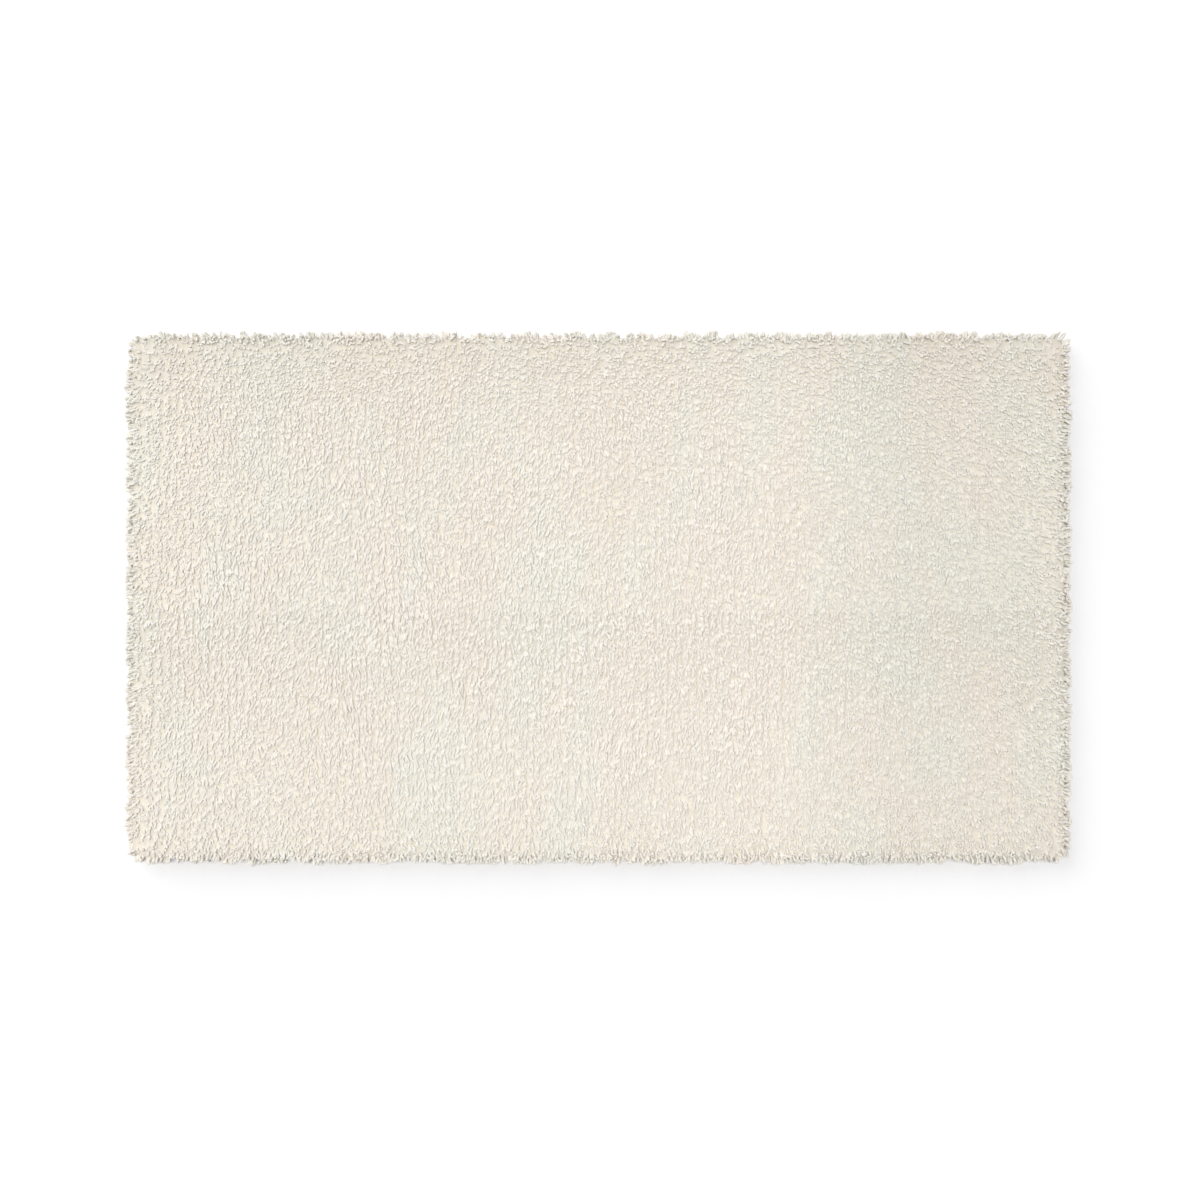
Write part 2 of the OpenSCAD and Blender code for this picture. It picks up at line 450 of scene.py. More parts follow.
def face_mesh(name, points, corners, counts, uvs=None):
    """A smooth mesh from flat arrays: points, the corners of all faces and corners per face."""
    mesh = bpy.data.meshes.new(name)
    mesh.vertices.add(len(points))
    mesh.vertices.foreach_set("co", np.asarray(points, np.float32).ravel())
    mesh.loops.add(len(corners))
    mesh.loops.foreach_set("vertex_index", np.asarray(corners, np.int32))
    mesh.polygons.add(len(counts))
    starts = np.concatenate([[0], np.cumsum(counts)[:-1]])
    mesh.polygons.foreach_set("loop_start", starts.astype(np.int32))
    mesh.update(calc_edges=True)
    mesh.shade_smooth()
    if uvs is not None:
        layer = mesh.uv_layers.new(name="OFBake")
        layer.uv.foreach_set("vector", np.asarray(uvs, np.float32).ravel())
    piece = bpy.data.objects.new(name, mesh)
    bpy.context.scene.collection.objects.link(piece)
    return piece


def unit(vectors):
    """Vectors scaled to a length of one."""
    never_zero = 1e-12
    return vectors / np.maximum(np.linalg.norm(vectors, axis=-1, keepdims=True), never_zero)


def tube_arrays(paths, radii, across, sides, cells=None, flat=1.0):
    """Tapered tubes, one along each path: points, corners, corners per face and UVs.

    paths is (strands, rings, 3), radii is (strands, rings), and across is one vector per
    strand that is never along it. flat squeezes the section along the other way. With
    cells, each strand gets one square of a UV map that is cells squares wide.
    """
    count, rings = paths.shape[:2]
    along = unit(np.gradient(paths, axis=1))
    first = unit(np.cross(along, np.broadcast_to(across[:, None], along.shape)))
    second = np.cross(first, along)
    turn = np.arange(sides) * math.tau / sides
    ring = (
        paths[:, :, None]
        + radii[:, :, None, None] * flat * np.cos(turn)[None, None, :, None] * first[:, :, None]
        + radii[:, :, None, None] * np.sin(turn)[None, None, :, None] * second[:, :, None]
    ).reshape(count, rings * sides, 3)
    tip_height = 0.9
    tips = paths[:, -1] + along[:, -1] * radii[:, -1, None] * tip_height
    points = np.concatenate([ring, tips[:, None]], axis=1)
    each = rings * sides + 1

    side = np.arange(sides)
    after = (side + 1) % sides
    low = (np.arange(rings - 1) * sides)[:, None]
    quads = np.stack([low + after, low + side, low + sides + side, low + sides + after], -1)
    top = (rings - 1) * sides
    fan = np.stack([top + after, top + side, np.full(sides, each - 1)], -1)
    corners = np.concatenate([quads.ravel(), fan.ravel()])
    counts = np.concatenate([np.full((rings - 1) * sides, 4), np.full(sides, 3)])
    all_corners = (np.arange(count)[:, None] * each + corners).ravel()
    uvs = None
    if cells:
        margin, height = 0.06, np.linspace(0, 1, rings + 1)
        left = side / sides
        right = left + 1 / sides
        lower, upper = height[:-2, None], height[1:-1, None]
        zero = np.zeros((rings - 1, sides))
        quad_uv = np.stack([
            np.stack([right + zero, lower + zero], -1), np.stack([left + zero, lower + zero], -1),
            np.stack([left + zero, upper + zero], -1), np.stack([right + zero, upper + zero], -1),
        ], 2)
        fan_uv = np.stack([
            np.stack([right, np.full(sides, height[-2])], -1),
            np.stack([left, np.full(sides, height[-2])], -1),
            np.stack([(left + right) / 2, np.ones(sides)], -1),
        ], 1)
        local = np.concatenate([quad_uv.reshape(-1, 2), fan_uv.reshape(-1, 2)])
        local = margin + (1 - 2 * margin) * local
        number = np.arange(count)
        corner = np.stack([number % cells, number // cells], -1)
        uvs = ((corner[:, None] + local[None]) / cells).reshape(-1, 2)
    return points.reshape(-1, 3), all_corners, np.tile(counts, count), uvs


def grid_arrays(points, room=None):
    """A sheet of quads over a grid of points, facing up: points, corners, counts and UVs.

    room is the (left, low, right, high) of the UV map that the grid fills.
    """
    corner = np.arange(points.shape[0] * points.shape[1]).reshape(points.shape[:2])
    quads = np.stack([corner[:-1, :-1], corner[1:, :-1], corner[1:, 1:], corner[:-1, 1:]], -1)
    uvs = None
    if room:
        u = np.linspace(room[0], room[2], points.shape[0])
        v = np.linspace(room[1], room[3], points.shape[1])
        uvs = np.stack(np.meshgrid(u, v, indexing="ij"), -1).reshape(-1, 2)[quads.ravel()]
    return points.reshape(-1, 3), quads.ravel(), np.full(quads.size // 4, 4), uvs


def join_arrays(one, other):
    """Two sets of mesh arrays as one."""
    return (
        np.concatenate([one[0], other[0]]), np.concatenate([one[1], other[1] + len(one[0])]),
        np.concatenate([one[2], other[2]]), np.concatenate([one[3], other[3]]),
    )


def sweep(name, section, stations, place):
    """A closed section carried through stations; place(section point, station) gives a point."""
    points = np.array([place(p, s) for s in stations for p in section])
    n = len(section)
    corners, counts = [], []
    for i in range(len(stations) - 1):
        for k in range(n):
            after = (k + 1) % n
            corners += [i * n + k, i * n + after, (i + 1) * n + after, (i + 1) * n + k]
            counts.append(4)
    for end, order in ((0, range(n - 1, -1, -1)), (len(stations) - 1, range(n))):
        corners += [end * n + k for k in order]
        counts.append(n)
    return face_mesh(name, points, corners, counts)


def finish_piece(piece, material, node):
    """Gives a piece its material and its body, and hides the CAD node that it stands for."""
    piece.data.materials.append(material)
    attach(piece, BODY)
    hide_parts(node)


# ---------------------------------------------------------------- pile


def row_places(pile):
    """X of every row's roots, as the frame has them, and how many rows a band holds."""
    field = COAT_HIGH[0] - COAT_LOW[0]
    band_rows = max(1, round(field / pile.row_pitch / len(BAND_NODES)))
    half = pile.back_stitch_width / 2
    rows = band_rows * len(BAND_NODES)
    return np.linspace(STITCH_LOW[0] + half, STITCH_HIGH[0] - half, rows), band_rows


def stitch_places(pile):
    """Y of every stitch along a row."""
    length = STITCH_HIGH[1] - STITCH_LOW[1]
    count = round(length / pile.stitch_pitch)
    return (np.arange(count) + 0.5) * length / count + STITCH_LOW[1]


def opened(x, y):
    """How far a heel has opened the pile, at one place near the front left corner."""
    at_x, at_y, size = -0.32, -0.165, 0.03
    return np.exp(-((x - at_x) ** 2 + (y - at_y) ** 2) / (2 * size ** 2))


def combed(x, y):
    """Which way the pile leans at a place, as an X and a Y share of the full lean."""
    slow, quick, most_turn = 0.5, 0.35, 0.22
    wander = slow * waves(x, y, 170 * MM, seed=11)
    wander = wander + quick * waves(x, y, 70 * MM, seed=12, stretch=1.6)
    heading = -math.pi / 2 + most_turn * wander
    usual, varied = 0.72, 0.08
    amount = usual + varied * waves(x, y, 110 * MM, seed=13)
    # hands and feet leave the right-hand third standing more upright
    third, change, lost, lost_opened = 0.24, 0.05, 0.35, 0.5
    amount = amount * (1 - lost / (1 + np.exp(-(x - third) / change)))
    amount = amount * (1 - lost_opened * opened(x, y))
    # strands part along wavy lines that run across the mat, and gather between them
    part_x, part_y, parting = 0.06, 0.05, 12 * MM
    lean_x = amount * np.cos(heading) + part_x * waves(x, y, parting, seed=14, stretch=4.0)
    lean_y = amount * np.sin(heading) + part_y * waves(x, y, parting, seed=15)
    return lean_x, lean_y


def edge_pull(x, y, reach):
    """How strongly the open edge pulls the pile outwards, as an X and a Y share."""
    pull_x = np.sign(x) * np.exp(-np.maximum(STITCH_HIGH[0] - np.abs(x), 0) / reach)
    pull_y = np.sign(y) * np.exp(-np.maximum(STITCH_HIGH[1] - np.abs(y), 0) / reach)
    size = np.maximum((pull_x ** 4 + pull_y ** 4) ** 0.25, 1)
    return pull_x / size, pull_y / size


def yarn_band(pile, rows_x, draw):
    """Centre lines, radii and across vectors of every yarn end that stands in these rows."""
    stitches = stitch_places(pile)
    pitch_x, pitch_y = pile.row_pitch, stitches[1] - stitches[0]
    x, y, end = (
        values.ravel()
        for values in np.meshgrid(rows_x, stitches, np.arange(pile.yarn_ends), indexing="ij")
    )
    n = len(x)
    # the ends of one stitch leave the cloth side by side and spread to fill its cell
    root_share, fan_share, stagger_share = 0.45, 0.55, 0.25
    root_loose, fan_loose, fan_lean = 1.6 * MM, 0.9 * MM, 1.6
    place = (end - (pile.yarn_ends - 1) / 2) / pile.yarn_ends
    stagger = np.where(end % 2, stagger_share, -stagger_share) * pitch_y
    root_x = x + root_share * pitch_x * place
    root_y = y + stagger + draw.uniform(-1, 1, n) * root_loose
    fan_x = fan_share * pitch_x * place + draw.normal(0, fan_loose, n)
    comb_x, comb_y = combed(root_x, root_y)
    stray_usual, stray_opened = 0.08, 0.22
    stray = stray_usual + stray_opened * opened(root_x, root_y)

    # towards the open edges the crowded pile is pushed outwards from its roots
    push_reach, push_angle, push_loose, lean_lost = 32 * MM, math.radians(66), 0.08, 0.75
    push = np.array(edge_pull(root_x, root_y, push_reach))
    pull = np.minimum(np.hypot(*push), 1)
    tilt_x = pile.lean * (comb_x + stray * draw.normal(0, 1, n)) * (1 - lean_lost * pull)
    tilt_y = pile.lean * (comb_y + stray * draw.normal(0, 1, n)) * (1 - lean_lost * pull)
    tilt_x = tilt_x + fan_lean * fan_x / pile.tuft_length
    push = push * push_angle * (1 + draw.normal(0, push_loose, n))
    # the outermost ends have nothing to hold them up: some stand, some hang to the floor
    hang_reach, few_hang, splay_loose, tip_loose = 5 * MM, 1.5, 0.3, 0.35
    hang = np.array(edge_pull(root_x, root_y, hang_reach)) * pile.edge_droop
    hang = hang * draw.uniform(0, 1, n) ** few_hang
    splay = draw.normal(0, splay_loose, n) * pull
    push, hang = (side + splay * np.array([-side[1], side[0]]) for side in (push, hang))
    loose_x, loose_y = draw.normal(0, tip_loose, (2, n))

    # an end is four straight lengths, and each kind of bend acts on its own part of them
    ring_at = np.array([0.0, 0.48, 0.74, 0.92, 1.0])
    middle = (ring_at[1:] + ring_at[:-1])[None] / 2
    share = np.diff(ring_at)[None]
    at_root, at_body, at_tip = (1 - middle) ** 0.8, middle ** 1.6, middle ** 6
    angle_x, angle_y = (
        tilt[:, None] * at_body + out[:, None] * at_root + down[:, None] * middle
        + loose[:, None] * at_tip
        for tilt, out, down, loose in zip((tilt_x, tilt_y), push, hang, (loose_x, loose_y))
    )
    angle, turn = np.hypot(angle_x, angle_y), np.arctan2(angle_y, angle_x)
    along = np.stack([
        np.sin(angle) * np.cos(turn), np.sin(angle) * np.sin(turn), np.cos(angle),
    ], -1)
    gain = (share[:, :, None] * along).sum(1)

    # every end is cut where it reaches the top of the pile, or at its full length
    tip_room, least_rise, cut_loose = 1.6 * MM, 0.1, 0.025
    top = PILE_HIGH[2] - PILE_LOW[2] - tip_room
    length = np.minimum(top / np.maximum(gain[:, 2], least_rise), pile.tuft_length)
    length = length * (1 + draw.normal(0, cut_loose, n))
    # the open edges are trimmed straight, a little unevenly
    past_rim, uneven, missed, shortest, least_gain = 0.8 * MM, 1.2 * MM, 0.9 * MM, 4 * MM, 0.05
    worn = uneven * (1 + waves(root_x, root_y, 28 * MM, seed=18))
    for axis, root in enumerate((root_x, root_y)):
        out = gain[:, axis]
        room = PILE_REACH[axis] + past_rim - worn - draw.exponential(missed, n)
        room = np.maximum(room - np.sign(out) * root, shortest)
        length = np.minimum(length, room / np.maximum(np.abs(out), least_gain))

    # spun yarn never hangs quite straight, and the lowest ends lie on the floor
    bent, lying = 0.35 * MM, 2.1 * MM
    path = np.zeros((n, len(ring_at), 3))
    path[:, 0] = np.stack([root_x, root_y, np.full(n, PILE_LOW[2])], -1)
    steps = (share * length[:, None])[:, :, None] * along
    path[:, 1:] = path[:, :1] + np.cumsum(steps, axis=1)
    path[:, 1:, :2] += draw.normal(0, bent, (n, len(ring_at) - 1, 2))
    path[:, :, 2] = np.maximum(path[:, :, 2], lying)

    # an end opens above its stitch, and opens further where the edge gives it room
    profile = np.array([0.6, 1.1, 1.15, 1.0, 0.75])
    thickness_loose, edge_opening = 0.1, 0.3
    spread = (1 + draw.normal(0, thickness_loose, n)) * (1 + edge_opening * pull ** 2)
    radii = pile.yarn_width / 2 * profile[None] * spread[:, None]
    bend_x, bend_y = tilt_x + push[0] + hang[0], tilt_y + push[1] + hang[1]
    never_zero = 1e-6
    across = unit(np.stack([-bend_y, bend_x + never_zero, np.zeros(n)], -1))
    return path, radii, across


def packed_pile(rows_x):
    """Top of the yarn where it is pressed together, a little below the tips of these rows."""
    pitch = rows_x[1] - rows_x[0]
    rim, inset, columns, lines = 12 * MM, 4.5 * MM, 20, 141
    reach_x, reach_y = PILE_REACH - inset - rim
    low_x = rows_x[0] - pitch / 2 if rows_x[0] > STITCH_LOW[0] + pitch else -reach_x - rim
    high_x = rows_x[-1] + pitch / 2 if rows_x[-1] < STITCH_HIGH[0] - pitch else reach_x + rim
    x = np.linspace(low_x, high_x, columns)
    y = np.linspace(-reach_y - rim, reach_y + rim, lines)
    gx, gy = np.meshgrid(x, y, indexing="ij")
    # the sides bulge like a cushion's and turn in again towards the cloth
    full_turn, never_zero = math.radians(150), 1e-9
    inner_x, inner_y = np.clip(gx, -reach_x, reach_x), np.clip(gy, -reach_y, reach_y)
    over_x, over_y = (gx - inner_x) / rim, (gy - inner_y) / rim
    over = np.maximum(np.hypot(over_x, over_y), never_zero)
    turn = np.minimum(over, 1) * full_turn
    foot, below_tips, ripple_height = 4.2 * MM, 3.6 * MM, 0.3 * MM
    sink_depth, sink_reach = 1.0 * MM, 20 * MM
    top = PILE_HIGH[2] - below_tips
    half = (top - foot) / (1 - math.cos(full_turn))
    sink = sink_depth * np.hypot(*edge_pull(gx, gy, sink_reach))
    ripple = ripple_height * waves(gx, gy, 7 * MM, seed=17)
    gz = np.maximum(top - sink - half * (1 - np.cos(turn)) + ripple, foot)
    bulge = rim * np.sin(turn) / over
    return np.stack([inner_x + over_x * bulge, inner_y + over_y * bulge, gz], -1)


class BATHMAT_OT_pile(Operator):
    """Sew the cut cotton pile, one piece for each band of rows"""

    bl_idname = "bath_mat.pile"
    bl_label = "Cotton Pile"

    def execute(self, context):
        pile, colours = context.scene.mat_pile, context.scene.mat_colours
        rows, band_rows = row_places(pile)
        per_band = band_rows * len(stitch_places(pile)) * pile.yarn_ends
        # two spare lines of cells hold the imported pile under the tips
        spare, seam = 2, 0.1
        cells = math.ceil(math.sqrt(per_band)) + spare
        packed_room = (0.0, 1 - (spare - seam) / cells, 1.0, 1.0)
        # the yarn shader paints the pressed pile in these spare cells in painted shade
        material = cotton_yarn(colours, cells)
        for number, node in enumerate(BAND_NODES):
            draw = np.random.default_rng([pile.seed, number])
            rows_x = rows[number * band_rows:(number + 1) * band_rows]
            ends = tube_arrays(*yarn_band(pile, rows_x, draw), sides=4, cells=cells)
            packed = grid_arrays(packed_pile(rows_x), packed_room)
            name = node.replace("tuft_rows", "pile")
            piece = face_mesh(name, *join_arrays(ends, packed))
            finish_piece(piece, material, node)
        return {"FINISHED"}


# ---------------------------------------------------------------- backing


class BATHMAT_OT_cloth(Operator):
    """Lay the woven canvas that the tufts are sewn through"""

    bl_idname = "bath_mat.cloth"
    bl_label = "Backing Cloth"

    def execute(self, context):
        size = CLOTH_HIGH - CLOTH_LOW
        columns, lines, bound, ripple, room = 91, 51, 40 * MM, 0.04 * MM, 0.1 * MM
        x, y = np.meshgrid(
            np.linspace(CLOTH_LOW[0], CLOTH_HIGH[0], columns),
            np.linspace(CLOTH_LOW[1], CLOTH_HIGH[1], lines), indexing="ij",
        )
        middle = (CLOTH_LOW[2] + CLOTH_HIGH[2]) / 2
        inside = np.clip((size[1] / 2 - np.abs(y)) / bound, 0, 1)
        z = middle + ripple * inside * waves(x, y, 60 * MM, seed=21)
        piece = face_mesh("canvas_backing", *grid_arrays(np.stack([x, y, z], -1)))
        thick = piece.modifiers.new("thickness", "SOLIDIFY")
        thick.thickness, thick.offset = size[2] - room, 0
        canvas = woven(
            "cotton_canvas", context.scene.mat_colours.canvas, thread_width=1.2 * MM, slant=0,
            roughness=0.9, sheen=0.15,
        )
        finish_piece(piece, canvas, "backing_cloth")
        return {"FINISHED"}


class BATHMAT_OT_back_stitches(Operator):
    """Run the yarn along the underside of the cloth, fat in each stitch and thin between"""

    bl_idname = "bath_mat.back_stitches"
    bl_label = "Back Stitches"

    def execute(self, context):
        rows, _ = row_places(context.scene.mat_pile)
        stitches = stitch_places(context.scene.mat_pile)
        half = (stitches[1] - stitches[0]) / 2
        y = np.concatenate([stitches - half, stitches])
        y.sort()
        z = (STITCH_LOW[2] + STITCH_HIGH[2]) / 2
        height = (STITCH_HIGH[2] - STITCH_LOW[2]) / 2
        path = np.zeros((len(rows), len(y), 3))
        path[:, :, 0], path[:, :, 1], path[:, :, 2] = rows[:, None], y[None], z
        width, neck = STITCH_HIGH[0] - rows[-1], 0.55
        radii = np.tile(np.where(np.arange(len(y)) % 2, width, neck * width), (len(rows), 1))
        across = np.tile([1.0, 0, 0], (len(rows), 1))
        arrays = tube_arrays(path, radii, across, sides=4, flat=height / width)
        piece = face_mesh("yarn_back_stitches", *arrays)
        # the pile's own yarn without its strand pattern, pressed flat in the coat
        pressed = woven(
            "cotton_yarn_pressed", context.scene.mat_colours.yarn_warm, thread_width=1.0 * MM,
            slant=math.radians(30), roughness=0.9, sheen=0.2,
        )
        finish_piece(piece, pressed, "back_stitches")
        return {"FINISHED"}


class BATHMAT_OT_coat(Operator):
    """Brush the latex over the back, where it follows the rows of stitches"""

    bl_idname = "bath_mat.coat"
    bl_label = "Latex Coat"

    def execute(self, context):
        rows, _ = row_places(context.scene.mat_pile)
        pitch = rows[1] - rows[0]
        quarter = np.array([-0.5, -0.25, 0.0, 0.25]) * pitch
        x = np.concatenate([(rows[:, None] + quarter).ravel(), [rows[-1] + pitch / 2]])
        lines, groove_depth, stitch_depth = 97, 0.22 * MM, 0.05 * MM
        gx, gy = np.meshgrid(x, np.linspace(COAT_LOW[1], COAT_HIGH[1], lines), indexing="ij")
        groove = 0.5 - 0.5 * np.cos(math.tau * (gx - rows[0]) / pitch)
        stitch = 0.5 + 0.5 * waves(gx, gy, 9 * MM, seed=31)
        z = COAT_LOW[2] + groove_depth * groove + stitch_depth * np.clip(stitch, 0, 1)
        # the coat stands back round the label, which lies level with it
        room, pocket_z = 2 * MM, 0.68 * MM
        past = np.maximum(
            np.abs(gx - (LABEL_LOW[0] + LABEL_HIGH[0]) / 2) - (LABEL_HIGH[0] - LABEL_LOW[0]) / 2,
            LABEL_LOW[1] - gy,
        )
        z = np.where(past < room, np.maximum(z, pocket_z), z)
        corner = np.arange(gx.size).reshape(gx.shape)
        # the sheet faces down, and its walls go once round the rim and up to the cloth
        quads = np.stack([corner[:-1, 1:], corner[1:, 1:], corner[1:, :-1], corner[:-1, :-1]], -1)
        rim = np.concatenate([
            corner[:, 0], corner[-1, 1:], corner[-2::-1, -1], corner[0, -2:0:-1],
        ])
        low = np.stack([gx, gy, z], -1).reshape(-1, 3)
        top = low[rim].copy()
        top[:, 2] = COAT_HIGH[2]
        number = gx.size + np.arange(len(rim))
        after = np.roll(np.arange(len(rim)), -1)
        walls = np.stack([rim, rim[after], number[after], number], -1)
        piece = face_mesh(
            "latex_backing", np.concatenate([low, top]),
            np.concatenate([quads.ravel(), walls.ravel(), number]),
            np.concatenate([np.full(quads.size // 4 + len(walls), 4), [len(rim)]]),
        )
        finish_piece(piece, latex_rubber(context.scene.mat_colours), "latex_coat")
        return {"FINISHED"}


# ---------------------------------------------------------------- binding and seam


def tape_line(leg, layer, cloth_t):
    """The folded tape's middle line, as (distance past the cloth's edge, height).

    Each end of the tape's width is turned in, so both legs are double: the line runs in from
    its hidden end, turns back at the leg's edge, goes round the cloth and does the same above.
    """
    total = cloth_t + 4 * layer
    half, bulge = layer / 2, 1.5 * layer
    turned = np.linspace(0, math.pi, 7)
    hidden = -0.5 * MM
    lower = [(hidden, 3 * half)] + [
        (layer - leg - half * math.sin(a), layer + half * math.cos(a)) for a in turned
    ]
    rise = np.linspace(-math.pi / 2, 0, 5)
    lower += [(bulge * math.cos(a), total / 2 + (total / 2 - half) * math.sin(a)) for a in rise]
    upper = [(past, total - height) for past, height in reversed(lower[:-1])]
    return np.array(lower + upper)


def thickened(line, thickness):
    """The closed outline of a strip of some thickness along a middle line."""
    ahead = unit(np.gradient(line, axis=0))
    side = np.stack([-ahead[:, 1], ahead[:, 0]], -1) * thickness / 2
    return np.concatenate([line + side, (line - side)[::-1]])


class BATHMAT_OT_binding(Operator):
    """Fold the twill tape over the four edges and mitre it at the corners"""

    bl_idname = "bath_mat.binding"
    bl_label = "Binding Tape"

    def execute(self, context):
        leg = CLOTH_HIGH[0] - COAT_HIGH[0]
        layer = (COAT_HIGH[2] - COAT_LOW[2]) / 2
        gap, station_pitch = 0.02 * MM, 6 * MM
        pucker_height, pucker_pitch, flat_below = 0.06 * MM, 3 * MM, 0.1 * MM
        line = tape_line(leg, layer, CLOTH_HIGH[2] - CLOTH_LOW[2])
        section = thickened(line, layer - gap)
        twill = woven(
            "cotton_twill_tape", context.scene.mat_colours.tape, thread_width=0.9 * MM,
            slant=math.radians(45), roughness=0.88, sheen=0.2,
        )
        half_l, half_w = CLOTH_HIGH[0], CLOTH_HIGH[1]
        sides = (
            ("binding_right", half_l, half_w, (1, 0), (0, 1)),
            ("binding_left", half_l, half_w, (-1, 0), (0, -1)),
            ("binding_back", half_w, half_l, (0, 1), (-1, 0)),
            ("binding_front", half_w, half_l, (0, -1), (1, 0)),
        )
        for node, edge, half, out, run in sides:
            stations = np.linspace(-1, 1, max(9, round(2 * half / station_pitch)))

            def place(point, station, edge=edge, half=half, out=out, run=run):
                past, height = point
                along = station * (half + past)
                # each stitch of the seam draws the tape down a little, but not on the floor
                pucker = pucker_height * math.sin(station * half / pucker_pitch * math.pi)
                flat = height if height < flat_below else height + pucker * (past < 0)
                return (
                    out[0] * (edge + past) + run[0] * along,
                    out[1] * (edge + past) + run[1] * along, flat,
                )

            piece = sweep("tape_" + node.split("_")[1], section, stations, place)
            finish_piece(piece, twill, node)
        return {"FINISHED"}


class BATHMAT_OT_seam(Operator):
    """Sew the lockstitch round the binding, and the bar tacks across its mitres"""

    bl_idname = "bath_mat.seam"
    bl_label = "Seam and Tacks"

    def execute(self, context):
        thread = sewing_thread(context.scene.mat_colours)
        for node, name, up in (
            ("needle_thread", "needle_stitches", 1), ("bobbin_thread", "bobbin_stitches", -1),
        ):
            stitches = self.stitch_run(name, *node_box(node), up)
            finish_piece(stitches, thread, node)
        finish_piece(self.tacks(), thread, "corner_tacks")
        return {"FINISHED"}

    @staticmethod
    def stitch_run(name, low, high, up):
        """Short stitches on a rectangle, each dipping into the tape at both of its ends."""
        thick = high[2] - low[2]
        middle = (low[2] + high[2]) / 2
        half_x, half_y = high[0] - thick, high[1] - thick
        pitch, share = 3.0 * MM, 0.84
        along = np.array([-0.5, -0.3, 0.0, 0.3, 0.5]) * pitch * share
        dip = np.array([-0.42, 0.0, 0.06, 0.0, -0.42]) * thick * up
        width, flatness = np.array([0.6, 0.9, 1.0, 0.9, 0.6]) * thick * 0.75, 0.6
        paths, across = [], []
        for axis, reach, at in ((0, half_x, half_y), (1, half_y, half_x)):
            count = round(2 * reach / pitch)
            middles = (np.arange(count) + 0.5) * 2 * reach / count - reach
            for side in (-1, 1):
                path = np.zeros((count, len(along), 3))
                path[:, :, axis] = middles[:, None] + along
                path[:, :, 1 - axis] = side * at
                path[:, :, 2] = middle + dip
                paths.append(path)
                across.append(np.tile(np.eye(3)[1 - axis], (count, 1)))
        paths, across = np.concatenate(paths), np.concatenate(across)
        radii = np.tile(width, (len(paths), 1))
        return face_mesh(name, *tube_arrays(paths, radii, across, sides=6, flat=flatness))

    @staticmethod
    def tacks():
        """A zigzag of thread over each mitre."""
        # from the coat's corner to a tack's middle, and from there to the tack's end
        inset, end_room, half_width, thinner = 5.5 * MM, 1.0 * MM, 0.7 * MM, 0.45
        reach = (TACK_HIGH[0] - COAT_HIGH[0] - inset) * math.sqrt(2) - end_room
        turns, steps, start = 9, 4, 0.1
        swing = np.linspace(-1, 1, turns * steps + 1)
        wide = half_width * np.sin(np.arange(len(swing)) * math.tau / steps / 2 + start)
        paths = []
        for sx in (-1, 1):
            for sy in (-1, 1):
                corner = np.array([sx, sy]) * (COAT_HIGH[:2] + inset)
                bar = np.array([sx, -sy]) / math.sqrt(2)
                over = np.array([sx, sy]) / math.sqrt(2)
                path = np.zeros((len(swing), 3))
                path[:, :2] = corner + (swing * reach)[:, None] * bar + wide[:, None] * over
                path[:, 2] = (TACK_LOW[2] + TACK_HIGH[2]) / 2
                paths.append(path)
        paths = np.array(paths)
        radii = np.full(paths.shape[:2], (TACK_HIGH[2] - TACK_LOW[2]) * thinner)
        upright = np.tile([0, 0, 1.0], (len(paths), 1))
        return face_mesh("bar_tacks", *tube_arrays(paths, radii, upright, sides=6))


class BATHMAT_OT_label(Operator):
    """Fold the blank satin label and catch its end under the binding"""

    bl_idname = "bath_mat.label"
    bl_label = "Care Label"

    def execute(self, context):
        layer, columns = 0.25 * MM, 17
        # the label comes down at the coat's edge and runs to its fold and back
        jog_y = COAT_HIGH[1] - 0.1 * MM
        top, low = LABEL_HIGH[2], LABEL_LOW[2]
        out, back = 1.5 * layer, 0.5 * layer
        fold_y = LABEL_LOW[1]
        bend = [
            (fold_y + layer - back * math.sin(a), low + layer + back * math.cos(a))
            for a in np.linspace(0, math.pi, 7)
        ]
        line = np.array(
            [(LABEL_HIGH[1], top - back), (jog_y - out, top - back), (jog_y - out, low + out)]
            + [(y, low + out) for y in np.linspace(jog_y - 4 * layer, fold_y + 2 * layer, 9)]
            + bend
            + [(y, low + back) for y in np.linspace(fold_y + 2 * layer, jog_y - 2 * layer, 9)]
            + [(jog_y - back, low + layer), (jog_y - back, top - out), (LABEL_HIGH[1], top - out)]
        )
        x = np.linspace(LABEL_LOW[0], LABEL_HIGH[0], columns)
        points = np.array([[(px, py, pz) for py, pz in line] for px in x])
        piece = face_mesh("satin_label", *grid_arrays(points))
        thick = piece.modifiers.new("thickness", "SOLIDIFY")
        thick.thickness, thick.offset = layer * 0.9, 0
        satin = woven(
            "polyester_satin", context.scene.mat_colours.satin, thread_width=0.4 * MM, slant=0,
            roughness=0.35, sheen=0.1,
        )
        finish_piece(piece, satin, "care_label")
        return {"FINISHED"}


# ---------------------------------------------------------------- stage


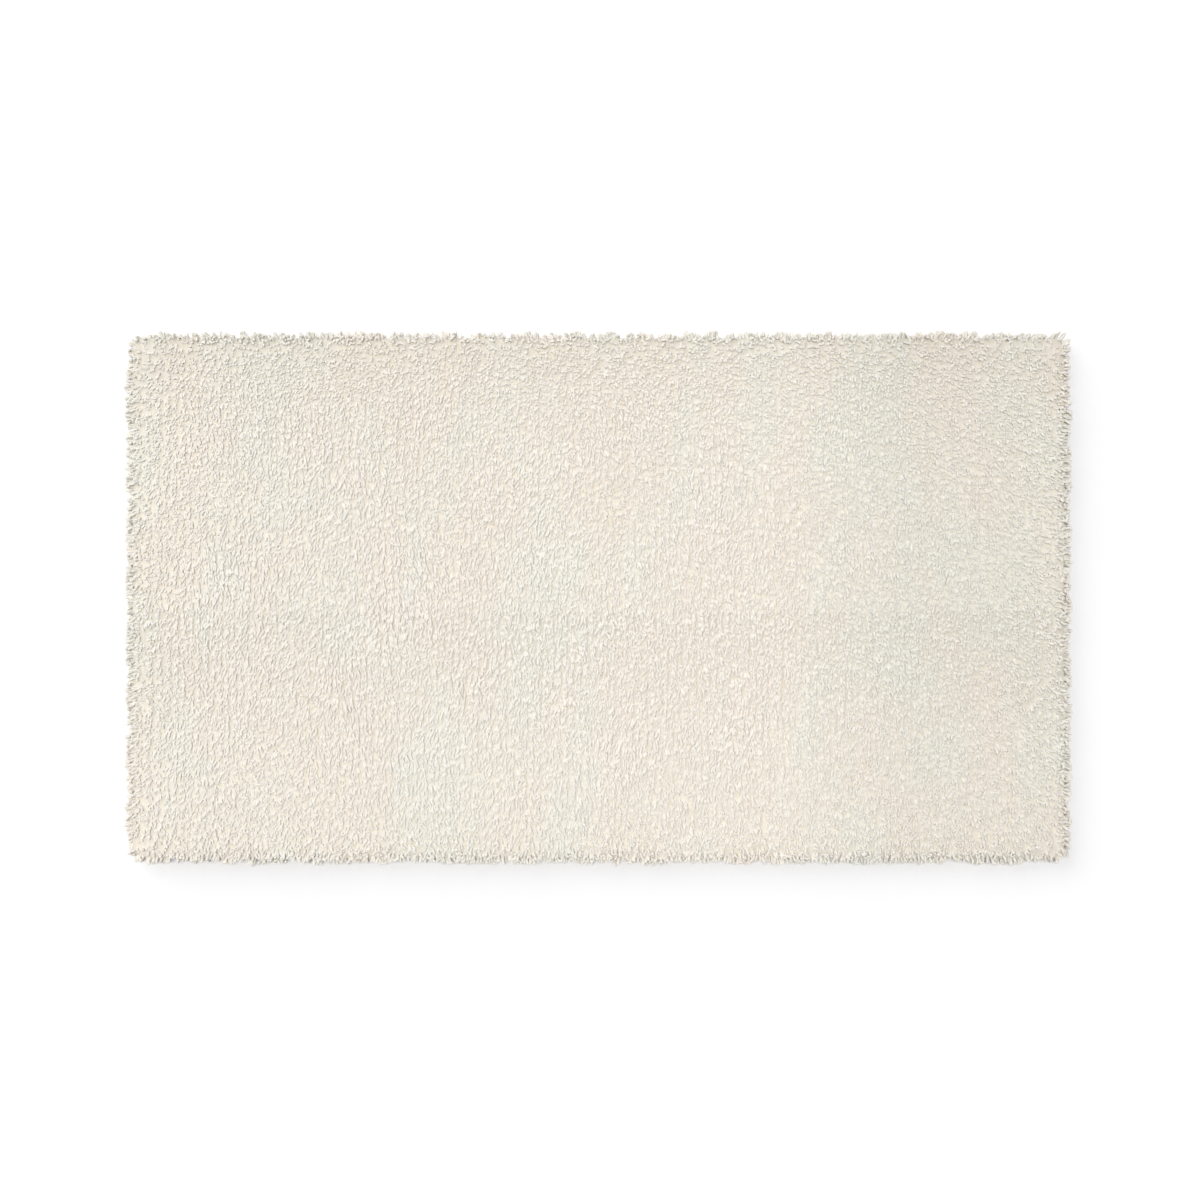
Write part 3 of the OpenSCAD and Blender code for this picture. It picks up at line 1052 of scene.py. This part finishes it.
class BATHMAT_OT_stage(Operator):
    """Set the paper floor, the soft lights and the camera straight above the mat"""

    bl_idname = "bath_mat.stage"
    bl_label = "Studio"

    def execute(self, context):
        stage, scene = context.scene.mat_stage, context.scene
        scene.view_settings.view_transform = "Standard"
        # light goes from strand to pale strand many times before it leaves a pile
        scene.cycles.diffuse_bounces = scene.cycles.max_bounces = 12
        reach = 6.0
        corners = [(-reach, -reach, 0), (reach, -reach, 0), (reach, reach, 0), (-reach, reach, 0)]
        floor = face_mesh("studio_floor", corners, [0, 1, 2, 3], [4])
        floor.data.materials.append(studio_paper())

        # each soft light is far off: its strength, the angle it fills and how it is turned
        daylight, from_upper_left = (1, 0.99, 0.975), math.radians(-135)
        for name, strength, spread, tilt in (
            ("overhead_softbox", stage.overhead, 16, 2), ("key_softbox", stage.key, 60, 54),
        ):
            light = bpy.data.lights.new(name, "SUN")
            light.energy, light.angle, light.color = strength, math.radians(spread), daylight
            lamp = bpy.data.objects.new(name, light)
            lamp.location = (-2, 2, 3)
            lamp.rotation_euler = (math.radians(tilt), 0, from_upper_left)
            scene.collection.objects.link(lamp)
        world = bpy.data.worlds.new("studio_room")
        world.use_nodes = True
        sky = world.node_tree.nodes["Background"]
        sky.inputs["Color"].default_value = linear("#F3F6FF")
        sky.inputs["Strength"].default_value = stage.ambient
        scene.world = world

        lens = bpy.data.cameras.new("overhead_camera")
        lens.sensor_width = 36
        lens.lens = lens.sensor_width * stage.camera_height / stage.view_width
        camera = bpy.data.objects.new("overhead_camera", lens)
        off_x, off_y = 1.6 * MM, -1.9 * MM
        camera.location = (off_x, off_y, stage.camera_height + PILE_HIGH[2])
        scene.collection.objects.link(camera)
        scene.camera = camera
        return {"FINISHED"}


# ---------------------------------------------------------------- panel and registration

SETTINGS = {
    "mat_pile": MatPileSettings, "mat_colours": MatColourSettings, "mat_stage": MatStageSettings,
}
STEPS = (
    BATHMAT_OT_pile, BATHMAT_OT_cloth, BATHMAT_OT_back_stitches, BATHMAT_OT_coat,
    BATHMAT_OT_binding, BATHMAT_OT_seam, BATHMAT_OT_label, BATHMAT_OT_stage,
)


class BATHMAT_PT_panel(Panel):
    """Lists the mat's settings and the steps that build it"""

    bl_label = "Bath Mat"
    bl_idname = "BATHMAT_PT_panel"
    bl_space_type = "VIEW_3D"
    bl_region_type = "UI"
    bl_category = "Bath Mat"

    def draw(self, context):
        for group in SETTINGS:
            settings = getattr(context.scene, group)
            box = self.layout.box()
            for name in settings.__annotations__:
                box.prop(settings, name)
        for step in STEPS:
            self.layout.operator(step.bl_idname)


CLASSES = (*SETTINGS.values(), *STEPS, BATHMAT_PT_panel)


def register():
    for cls in CLASSES:
        bpy.utils.register_class(cls)
    for name, group in SETTINGS.items():
        setattr(bpy.types.Scene, name, PointerProperty(type=group))


def unregister():
    for name in SETTINGS:
        delattr(bpy.types.Scene, name)
    for cls in reversed(CLASSES):
        bpy.utils.unregister_class(cls)


def main():
    register()
    bpy.ops.bath_mat.pile()
    bpy.ops.bath_mat.cloth()
    bpy.ops.bath_mat.back_stitches()
    bpy.ops.bath_mat.coat()
    bpy.ops.bath_mat.binding()
    bpy.ops.bath_mat.seam()
    bpy.ops.bath_mat.label()
    bpy.ops.bath_mat.stage()
    bpy.context.view_layer.update()


if __name__ == "__main__":
    main()
